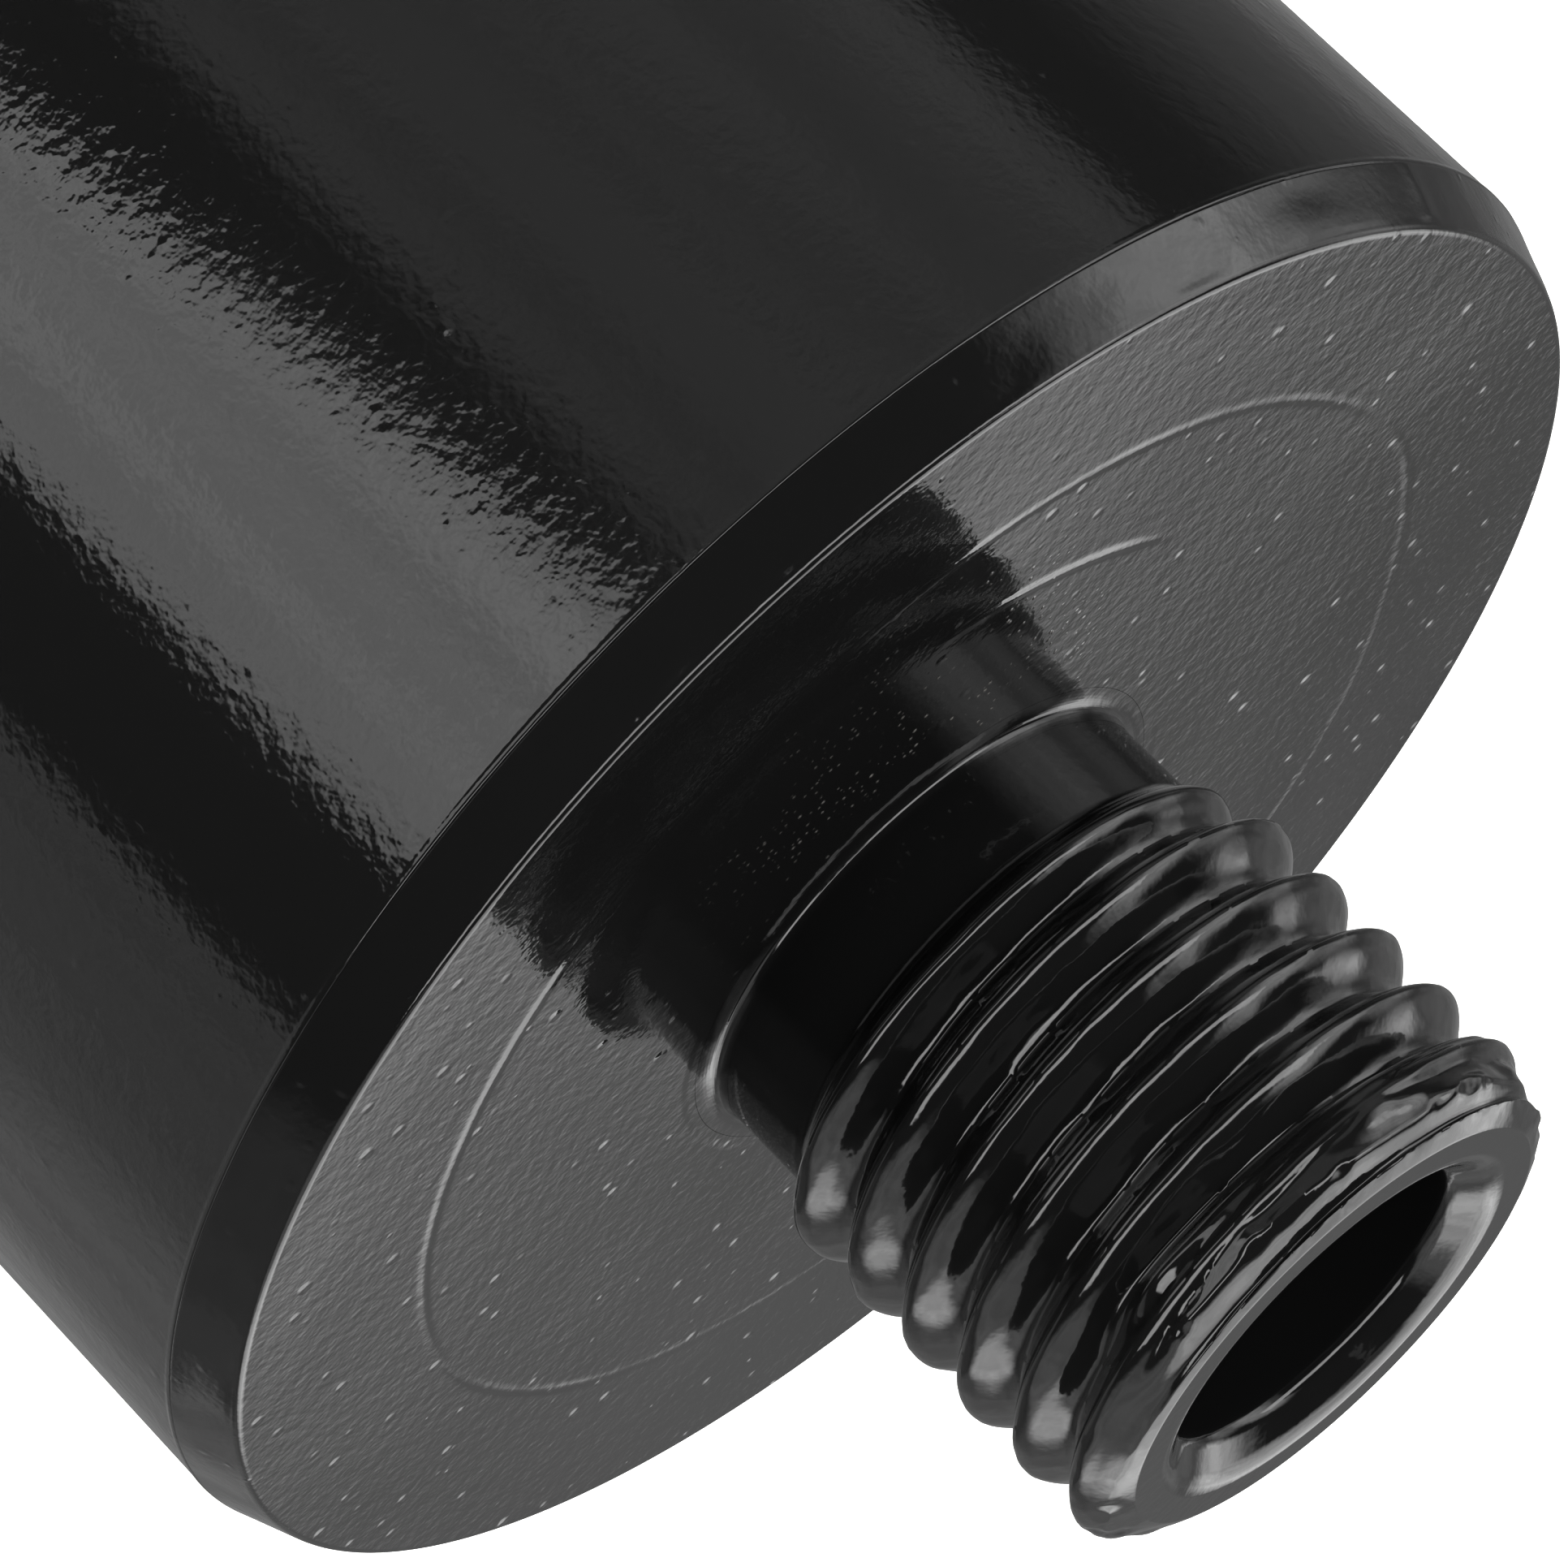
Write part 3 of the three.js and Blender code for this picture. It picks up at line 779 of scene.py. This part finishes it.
nipple = {
    "bore": 5.88,
    "neck": 9.06,
    "collar": 12.0,
    "collarHeight": 2.5,
    "neckLength": 3.7,
    "crest": 10.36,
    "threadDepth": 1.35,
    "pitch": 2.65,
    "phase": 0.32,  # share of a turn
    "runIn": 1.6,
    "rootPlace": 0.58,  # share of a pitch from a crest to the root beyond it: the wet coat sagged
    "crestSoftness": 0.75,
    "ridge": 0.03,
    "swellRadius": 10,  # swells are read at this radius, so the thread's depth doesn't change them
    "endRounding": 1.5,
    "endFullness": 2.2,
    "endRing": 8.7,  # outer radius of the flat ring at the end
    "mouth": 7.2,
    "mouthDepth": 1.0,
    "rowStep": 0.09,
    "unevenness": 0.035,
    "burr": 0.17,
    "drip": 0.3,
    "dripFullness": 0.78,
    "dripLeft": (-42, -14),  # bearings over which the run rises and fades
    "dripRight": (78, 106),
    "dripFoot": (-3.3, -2.4),  # heights from the nipple's end over which it does the same
    "dripTop": (-0.9, -0.3),
    "sides": 400,
}


def reshapeNipple(radius, bearing, height):
    start = faceHeight + nipple["neckLength"]
    onThread = (height > start) & (np.abs(radius - nipple["neck"]) < 0.01)
    turn = -bearing / 360 % 1
    share = (height - faceHeight) / nipple["pitch"] - turn - nipple["phase"]
    past = (share - 0.5) % 1
    rootPlace, soft = nipple["rootPlace"], nipple["crestSoftness"]
    fall = np.where(past < rootPlace, past / rootPlace, (1 - past) / (1 - rootPlace))
    lobe = 1 - soft * smoothStep(fall, 0, 1) - (1 - soft) * fall
    root = nipple["crest"] - nipple["threadDepth"]
    points = pointsAt(nipple["swellRadius"], bearing, height)
    uneven = swells(points, (3, 3, 1.2), 31) + 0.5 * swells(points, (1, 1, 0.6), 32)
    ridges = nipple["ridge"] * swells(points, (2.4, 2.4, 0.36), 36)
    full = root + nipple["threadDepth"] * lobe + nipple["unevenness"] * uneven + ridges

    # enamel that ran down fills the last groove on the camera's side and stands there in torn ridges
    near = within(bearing, nipple["dripLeft"], nipple["dripRight"])
    zone = within(height - nippleEnd, nipple["dripFoot"], nipple["dripTop"])
    ragged = swells(points, (2.8, 2.8, 0.9), 33) + 0.25 * swells(points, (1.1, 1.1, 0.5), 34)
    filled = root + nipple["threadDepth"] * nipple["dripFullness"] + nipple["drip"] * ragged
    full = full + near * zone * (np.maximum(full, filled) - full)

    grown = nipple["neck"] + (full - nipple["neck"]) * smoothStep(height, start, start + nipple["runIn"])
    over = np.clip((height - nippleEnd + nipple["endRounding"]) / nipple["endRounding"], 0, 1)
    spare = nipple["crest"] - nipple["endRing"]
    limit = nipple["endRing"] + spare * (1 - over ** nipple["endFullness"])
    ends = smoothStep(over, 0, 0.3) * smoothStep(1 - over, 0, 0.3)
    burrs = nipple["burr"] * swells(points, (0.7, 0.7, 0.45), 35) * ends
    coat = np.minimum(np.minimum(grown, limit + burrs), nipple["crest"])

    # the flat ring at the end is drawn in to meet the coat
    mouth = nipple["mouth"]
    drawnIn = mouth + (radius - mouth) * (nipple["endRing"] - mouth) / (nipple["neck"] - mouth)
    onRing = (height > nippleEnd - 0.001) & (radius > mouth)
    return np.where(onThread, coat, np.where(onRing, drawnIn, radius)), height


def buildNipple():
    bore, neck = nipple["bore"], nipple["neck"]
    collarTop = nippleLow + nipple["collarHeight"]
    start = faceHeight + nipple["neckLength"]
    corners = [
        (bore, nippleLow, 0.2, 1),
        (nipple["collar"], nippleLow, 0.3, 1),
        (nipple["collar"], collarTop, 0.2, 1),
        (neck, collarTop, 0, 3),
        (neck, faceHeight, 0, 0.5),
        (neck, start, 0, nipple["rowStep"]),
        (neck, nippleEnd - 0.4, 0, 0.03),  # close rows where the coat turns over the end
        (neck, nippleEnd, 0, 0.08),
        (nipple["mouth"], nippleEnd, 0.45, 0.12),
        (bore, nippleEnd - nipple["mouthDepth"], 0.35, 1.5),
    ]
    piece = turned("threaded_neck", corners, nipple["sides"], reshapeNipple)
    stand(piece, "threaded_nipple", nippleEnamel)


buildNipple()
print("nipple built")

# round-section seals: the section's radius comes from the node's height, drawn there as a hexagon

seals = {"sides": 160, "sectionSides": 20}


def buildSeals():
    nodes = ["front_liner_o_ring", "rear_liner_o_ring", "rear_plate_o_ring"]
    nodes += ["piston_o_ring_front", "piston_o_ring_rear"]
    for node in nodes:
        outer, low, high = boxOf(node)
        section = (high - low) / 2 / math.sin(math.pi / 3)
        corners = []
        for i in range(seals["sectionSides"]):
            angle = i / seals["sectionSides"] * 2 * math.pi
            radius = outer - section * (1 - math.cos(angle))
            corners.append((radius, (low + high) / 2 + section * math.sin(angle), 0, 1))
        stand(turned(node + "_moulded", corners, seals["sides"]), node, finish["moulded_nitrile"])


buildSeals()

# plain rings: liner, guide strip, stops, washer and flat seals, with their edges broken

rings = {
    # node: bore, edge rounding, sides, finish
    "cylinder_liner": (24.0, 0.2, 240, "honed_stainless"),
    "piston_guide_ring": (22.45, 0.12, 200, "filled_bearing_strip"),
    "front_bumper_ring": (14.0, 0.6, 160, "moulded_nitrile"),
    "rear_stop_ring": (15.0, 0.6, 160, "moulded_nitrile"),
    "valve_head_seal": (5.2, 0.15, 96, "moulded_nitrile"),
    "valve_washer": (5.2, 0.15, 96, "plated_turned_steel"),
    "valve_poppet_seal": (0.65, 0.1, 64, "moulded_nitrile"),
    "valve_cap_seal": (0.8, 0.08, 64, "moulded_nitrile"),
}


def buildRings():
    for node, (bore, rounding, sides, look) in rings.items():
        outer, low, high = boxOf(node)
        section = ((bore, low), (outer, low), (outer, high), (bore, high))
        corners = [(radius, height, rounding, 3) for radius, height in section]
        stand(turned(node + "_ring", corners, sides), node, finish[look])


buildRings()
print("seals and rings built")

# rear plate: turned steel with the charge valve's pocket on its inner side

rearPlate = {
    "bore": 5.0,
    "seat": 32.0,
    "spigot": 23.95,
    "plateSeal": (27.0, 2.05, 1.2),  # height, groove depth, half width
    "linerSeal": (34.5, 1.65, 1.0),
    "pocket": 14.0,
    "pocketDepth": 7.0,
    "edge": 0.4,
    "sides": 240,
}


def grooveCorners(radius, seal):
    height, depth, half = seal
    places = [(radius, height - half), (radius - depth, height - half)]
    places += [(radius - depth, height + half), (radius, height + half)]
    return [(r, h, 0.12, 1) for r, h in places]


def buildRearPlate():
    outer, low, high = boxOf("rear_end_plate")
    edge = rearPlate["edge"]
    floor = high - rearPlate["pocketDepth"]
    corners = [
        (rearPlate["bore"], low, edge, 1),
        (outer, low, edge, 2),
        *grooveCorners(outer, rearPlate["plateSeal"]),
        (outer, rearPlate["seat"], 0.2, 1),
        (rearPlate["spigot"], rearPlate["seat"], 0.1, 1),
        *grooveCorners(rearPlate["spigot"], rearPlate["linerSeal"]),
        (rearPlate["spigot"], high, edge, 2),
        (rearPlate["pocket"], high, edge, 2),
        (rearPlate["pocket"], floor, edge, 2),
        (rearPlate["bore"], floor, 0.2, 2),
    ]
    piece = turned("rear_plate", corners, rearPlate["sides"])
    stand(piece, "rear_end_plate", finish["plated_turned_steel"])


buildRearPlate()

# snap ring: stamped from sheet, with its edges rounded over by the stamping

snapRing = {
    "width": 3.0,
    "lugWidth": 5.5,
    "opening": 36,  # degrees
    "lugAngle": 7,
    "hole": 1.1,
    "holeInset": 1.35,  # hole's edge from the lug's inner edge
    "edge": 0.18,
}


def arcPoints(radius, start, end, centre=(0, 0)):
    count = max(12, round(abs(end - start) / 2))  # about one for each two degrees
    angles = np.radians(np.linspace(start, end, count))
    return [(centre[0] + radius * math.cos(a), centre[1] + radius * math.sin(a)) for a in angles]


def buildSnapRing():
    _, low, high = boxOf("rear_snap_ring")
    outer = -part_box("rear_snap_ring")[0].x / mm
    inner = outer - snapRing["width"]
    lugInner = outer - snapRing["lugWidth"]
    start, lug = snapRing["opening"] / 2, snapRing["lugAngle"]
    end = 360 - start
    loops = [
        arcPoints(outer, start, end)
        + arcPoints(lugInner, end, end - lug)
        + arcPoints(inner, end - lug, start + lug)
        + arcPoints(lugInner, start + lug, start)
    ]
    distance = lugInner + snapRing["holeInset"] + snapRing["hole"]
    for side in (start + lug / 2, end - lug / 2):
        angle = math.radians(side)
        centre = (distance * math.cos(angle), distance * math.sin(angle))
        loops.append(arcPoints(snapRing["hole"], 0, 345, centre))
    curve = bpy.data.curves.new("snap_outline", "CURVE")
    curve.dimensions = "2D"
    curve.fill_mode = "BOTH"
    curve.extrude = ((high - low) / 2 - snapRing["edge"]) * mm
    curve.bevel_depth = snapRing["edge"] * mm
    curve.bevel_resolution = 3
    curve.offset = -snapRing["edge"] * mm
    for loop in loops:
        line = curve.splines.new("POLY")
        line.points.add(len(loop) - 1)
        for point, (x, y) in zip(line.points, loop):
            point.co = (x * mm, y * mm, 0, 1)
        line.use_cyclic_u = True
    drawn = bpy.data.objects.new("snap_outline", curve)
    bpy.context.scene.collection.objects.link(drawn)
    bpy.context.view_layer.update()
    mesh = bpy.data.meshes.new_from_object(drawn)
    bpy.data.objects.remove(drawn)
    joinDoubles(mesh, 1e-6)
    mesh.transform(Matrix.Translation((0, 0, (low + high) / 2 * mm)))
    mesh.materials.clear()
    stand(addPiece("snap_ring", mesh), "rear_snap_ring", finish["oiled_spring_steel"])


buildSnapRing()
print("rear plate and snap ring built")

# piston: turned acetal cup, with grooves for two seals and a guide strip

piston = {
    "cup": 17.0,
    "crown": 8.0,
    "bevel": 1.0,
    "sealInset": 4.85,  # piston end to the seal's middle
    "sealGroove": (1.75, 1.05),  # depth, half width
    "guideGroove": (1.55, 4.05),
    "sides": 240,
}


def buildPiston():
    outer, low, high = boxOf("piston")
    bevel, cup = piston["bevel"], piston["cup"]
    crown = high - piston["crown"]
    rearSeal = (low + piston["sealInset"], *piston["sealGroove"])
    guide = ((low + high) / 2, *piston["guideGroove"])
    frontSeal = (high - piston["sealInset"], *piston["sealGroove"])
    corners = [
        (0, crown, 0, 3),
        (cup, crown, 1.2, 3),
        (cup, low, 0.3, 2),
        (outer - bevel, low, 0.2, 1),
        (outer, low + bevel, 0.3, 2),
        *grooveCorners(outer, rearSeal),
        *grooveCorners(outer, guide),
        *grooveCorners(outer, frontSeal),
        (outer, high - bevel, 0.3, 1),
        (outer - bevel, high, 0.3, 3),
        (0, high, 0, 3),
    ]
    stand(turned("piston_cup", corners, piston["sides"]), "piston", finish["turned_acetal"])


buildPiston()
print("piston built")

# charge valve: brass stem with a fine cap thread, a plated nut, a core with its sprung pin, and a cap

valve = {
    "bore": 2.3,
    "stem": 4.9,
    "capThread": 3.85,
    "capThreadLength": 7.5,
    "capPitch": 0.794,
    "capThreadDepth": 0.32,
    "headThickness": 3.0,
    "stemPitch": 1.0,
    "stemThreadDepth": 0.35,
    "nutFlats": 13.0,
    "nutHole": 5.2,
    "nutChamfer": 0.7,
    "coreWall": 0.65,
    "coreEndWall": 5.0,
    "pin": 0.6,
    "pinHole": 0.8,
    "pinCollar": (1.4, 0.8, 1.8),  # radius, thickness, distance from the tip
    "poppetThickness": 1.4,
    "cap": {"inner": 4.05, "crown": 1.2, "flutes": 18, "fluteDepth": 0.35, "edge": 0.5},
    "threadFade": 0.3,  # half the length over which a thread runs in or out
    "stemSides": 144,
    "nutSides": 240,
    "coreSides": 96,
    "pinSides": 64,
    "capSides": 288,
}


def buildValveBody():
    outer, low, high = boxOf("valve_body")
    capEnd = low + valve["capThreadLength"]
    headLow = high - valve["headThickness"]

    def reshape(radius, bearing, height):
        turn = -bearing / 360
        cut = radius.copy()
        spread = valve["threadFade"]
        capThread = (valve["capThread"], valve["capPitch"], valve["capThreadDepth"])
        stemThread = (valve["stem"], valve["stemPitch"], valve["stemThreadDepth"])
        threads = [(*capThread, low + 0.5, capEnd - 0.4), (*stemThread, capEnd + 0.5, headLow - 4)]
        for crest, pitch, depth, first, last in threads:
            wave = np.abs(((height / pitch - turn) % 1) * 2 - 1)
            fade = within(height, (first - spread, first + spread), (last - spread, last + spread))
            on = (np.abs(radius - crest) < 0.01) & (height > first - spread) & (height < last + spread)
            cut = np.where(on, radius - depth * wave * fade, cut)
        return cut, height

    corners = [
        (valve["bore"], low, 0.2, 1),
        (valve["capThread"], low, 0.4, 0.1),
        (valve["capThread"], capEnd, 0, 1),
        (valve["stem"], capEnd, 0.3, 0.12),
        (valve["stem"], headLow, 0, 1),
        (outer, headLow, 0.3, 1),
        (outer, high, 0.5, 1),
        (valve["bore"], high, 0.2, 2),
    ]
    piece = turned("valve_stem", corners, valve["stemSides"], reshape)
    stand(piece, "valve_body", finish["turned_brass"])


def buildValveNut():
    _, low, high = boxOf("valve_nut")
    half = valve["nutFlats"] / 2
    corner = half / math.cos(math.pi / 6)
    chamfer = valve["nutChamfer"]

    def reshape(radius, bearing, height):
        fromFlat = (bearing + 90) % 60 - 30
        hexagon = half / np.cos(np.radians(fromFlat))
        outside = radius > valve["nutHole"] + 0.4
        return np.where(outside, np.minimum(radius, hexagon), radius), height

    corners = [
        (valve["nutHole"], low, 0.15, 1),
        (half - 0.25, low, 0, 0.07),
        (corner, low + chamfer, 0, 1),
        (corner, high - chamfer, 0, 0.07),
        (half - 0.25, high, 0, 1),
        (valve["nutHole"], high, 0.15, 1),
    ]
    piece = turned("valve_hex_nut", corners, valve["nutSides"], reshape)
    stand(piece, "valve_nut", finish["plated_turned_steel"])


def buildValveCore():
    outer, low, high = boxOf("valve_core")
    chamber = outer - valve["coreWall"]
    wall = high - valve["coreEndWall"]
    corners = [
        (chamber, low, 0.15, 2),
        (outer, low, 0.2, 2),
        (outer, high, 0.2, 1),
        (valve["pinHole"], high, 0.1, 2),
        (valve["pinHole"], wall, 0.1, 1),
        (chamber, wall, 0.1, 2),
    ]
    barrel = turned("valve_core_barrel", corners, valve["coreSides"])
    stand(barrel, "valve_core", finish["turned_brass"])


def buildValvePin():
    outer, low, high = boxOf("valve_pin")
    pin = valve["pin"]
    collar, thickness, inset = valve["pinCollar"]
    poppet = high - valve["poppetThickness"]
    corners = [
        (0, low, 0, 1),
        (pin, low, 0.2, 1),
        (pin, low + inset, 0.05, 1),
        (collar, low + inset, 0.1, 1),
        (collar, low + inset + thickness, 0.1, 1),
        (pin, low + inset + thickness, 0.05, 2),
        (pin, poppet, 0.05, 1),
        (outer, poppet, 0.1, 1),
        (outer, high, 0.3, 1),
        (0, high, 0, 1),
    ]
    stem = turned("valve_pin_turned", corners, valve["pinSides"])
    stand(stem, "valve_pin", finish["honed_stainless"])


def buildCap():
    outer, low, high = boxOf("valve_cap")
    look = valve["cap"]
    crown = low + look["crown"]

    def reshape(radius, bearing, height):
        flute = 0.5 - 0.5 * np.cos(np.radians(bearing) * look["flutes"])
        flute = flute * within(height, (low + 0.3, low + 1.2), (high - 1.2, high - 0.5))
        return np.where(radius > outer - 0.1, radius - look["fluteDepth"] * flute, radius), height

    corners = [
        (0, low, 0, 0.6),
        (outer, low, look["edge"], 0.2),
        (outer, high, 0.3, 0.5),
        (look["inner"], high, 0.2, 1),
        (look["inner"], crown, 0.2, 1),
        (0, crown, 0, 1),
    ]
    cap = turned("valve_dust_cap", corners, valve["capSides"], reshape)
    stand(cap, "valve_cap", finish["moulded_nylon"])


buildValveBody()
buildValveNut()
buildValveCore()
buildValvePin()
buildCap()

# valve spring: its ends are wound flat

spring = {
    "wire": 0.16,  # radius
    "turns": 6,
    "flatTurns": 0.5,  # at each end
    "steps": 36,  # for each turn
    "sides": 12,
}


def buildValveSpring():
    outer, low, high = boxOf("valve_spring")
    wire, turns, flat, sides = (spring[name] for name in ("wire", "turns", "flatTurns", "sides"))
    rows = turns * spring["steps"] + 1
    turn = np.linspace(0, turns, rows)
    rise = (high - low - 2 * wire) * np.clip((turn - flat) / (turns - 2 * flat), 0, 1)
    angle = (turn * 2 * math.pi)[:, None]
    around = np.arange(sides) / sides * 2 * math.pi
    radius = outer - wire + wire * np.cos(around)
    height = (low + wire + rise)[:, None] + wire * np.sin(around)
    points = np.stack((radius * np.cos(angle), radius * np.sin(angle), height), axis=-1) * mm
    faces = [tuple(range(sides)), tuple(reversed(range((rows - 1) * sides, rows * sides)))]
    for row in range(rows - 1):
        for side in range(sides):
            here, beside = row * sides + side, row * sides + (side + 1) % sides
            faces.append((here, here + sides, beside + sides, beside))
    mesh = bpy.data.meshes.new("valve_coil")
    mesh.from_pydata(points.reshape(-1, 3).tolist(), [], faces)
    mesh.materials.append(finish["oiled_spring_steel"])
    piece = addPiece("valve_coil", mesh)
    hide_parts("valve_spring")
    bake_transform(piece)


buildValveSpring()
print("charge valve built")

bpy.context.view_layer.update()
